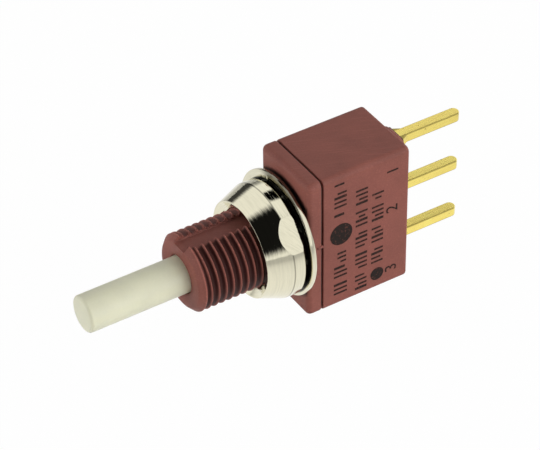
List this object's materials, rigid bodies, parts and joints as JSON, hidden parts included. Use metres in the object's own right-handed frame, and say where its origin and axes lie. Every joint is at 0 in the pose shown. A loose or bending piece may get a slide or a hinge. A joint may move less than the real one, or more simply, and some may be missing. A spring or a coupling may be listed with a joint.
{
  "type": "push-button switch",
  "caption": "Sealed miniature changeover push-button switch with a plain round plunger, threaded bushing, conical nut and straight pins.",
  "frame": {"origin": "on the plunger's axis, in the front face of the housing flange, where the threaded bushing starts", "axes": "+Y along the bushing's axis towards the pins, so the plunger points to -Y; +Z along the row of pins towards the normally open one; +X out of the printed side"},
  "size_m": [0.0103, 0.0337, 0.0126],
  "materials": {
    "housing_moulding": "glass-filled moulding, dull brownish maroon, fine grain",
    "case_moulding": "glass-filled moulding, dull brownish maroon, dark print",
    "seal_rubber": "black, smooth",
    "nickel_plate": "bright nickel over turned brass, fine turning lines",
    "plunger_moulding": "pale ivory moulding, satin",
    "spring_wire": "drawn wire",
    "plate_steel": "stamped sheet",
    "driver_moulding": "natural moulding",
    "contact_strip": "stamped copper alloy strip",
    "silver_contact": "silver contact bar",
    "gold_plate": "gold plated strip, sheared edges",
    "potting_resin": "cast resin"
  },
  "bodies": {
    "root": {"front_housing": "housing_moulding", "rear_case": "case_moulding", "case_gasket": "seal_rubber", "panel_nut": "nickel_plate", "lock_washer": "nickel_plate", "return_spring": "spring_wire", "spring_plate": "plate_steel", "bias_spring": "spring_wire", "terminal_no": "gold_plate", "terminal_common": "gold_plate", "terminal_nc": "gold_plate", "fixed_contact_no": "silver_contact", "fixed_contact_nc": "silver_contact", "terminal_seal_no": "potting_resin", "terminal_seal_common": "potting_resin", "terminal_seal_nc": "potting_resin"},
    "plunger": {"plunger": "plunger_moulding", "plunger_o_ring": "seal_rubber", "driver_spring": "spring_wire"},
    "driver": {"driver": "driver_moulding"},
    "rocker": {"rocker": "contact_strip", "rocker_contact_no": "silver_contact", "rocker_contact_nc": "silver_contact"}
  },
  "joints": [
    {"name": "plunger_slide", "type": "slide", "parent": "root", "child": "plunger", "axis": [0, 1, 0], "range_m": [0, 0.0016], "stiffness_N_per_m": 800, "springref_m": -0.002, "deforming": ["return_spring"]},
    {"name": "driver_slide", "type": "slide", "parent": "plunger", "child": "driver", "axis": [0, 1, 0], "range_m": [-0.00121, 0], "deforming": ["driver_spring"]},
    {"name": "rocker_tip", "type": "hinge", "parent": "root", "child": "rocker", "pos_m": [0, 0.00605, 0], "axis": [-1, 0, 0], "range_deg": [0, 12.01], "deforming": ["bias_spring"]}
  ],
  "couplings": [
    {"joint": "driver_slide", "follows": "plunger_slide", "ratio": -0.75038},
    {"joint": "rocker_tip", "follows": "plunger_slide", "rad_per_m": 130.9}
  ]
}
